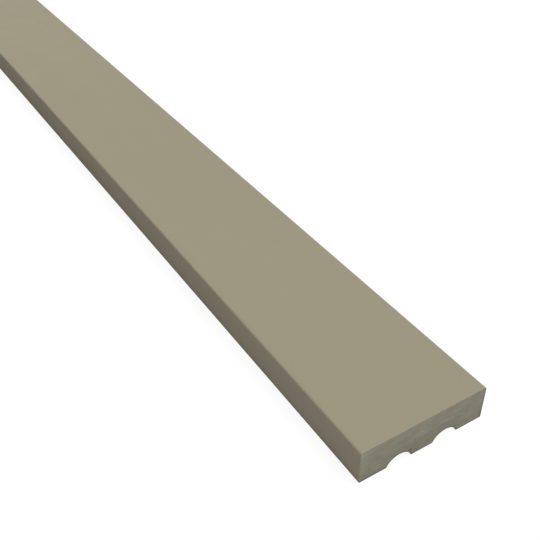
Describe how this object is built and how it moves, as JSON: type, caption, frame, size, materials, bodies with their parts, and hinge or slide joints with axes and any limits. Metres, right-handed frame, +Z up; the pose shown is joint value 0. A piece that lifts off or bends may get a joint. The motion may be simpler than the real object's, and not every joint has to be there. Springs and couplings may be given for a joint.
{
  "type": "trim board",
  "caption": "Long flat exterior trim board of rectangular section with eased edges, a smooth painted face and round relief grooves along its back.",
  "frame": {"origin": "under the middle of the board, on the plane of its back lands", "axes": "+X along the length, +Y across the width, +Z up through the thickness to the finished face"},
  "size_m": [2.4384, 0.0888, 0.0254],
  "materials": {
    "painted_board": "satin"
  },
  "bodies": {
    "root": {"trim_board": "painted_board"}
  },
  "joints": []
}
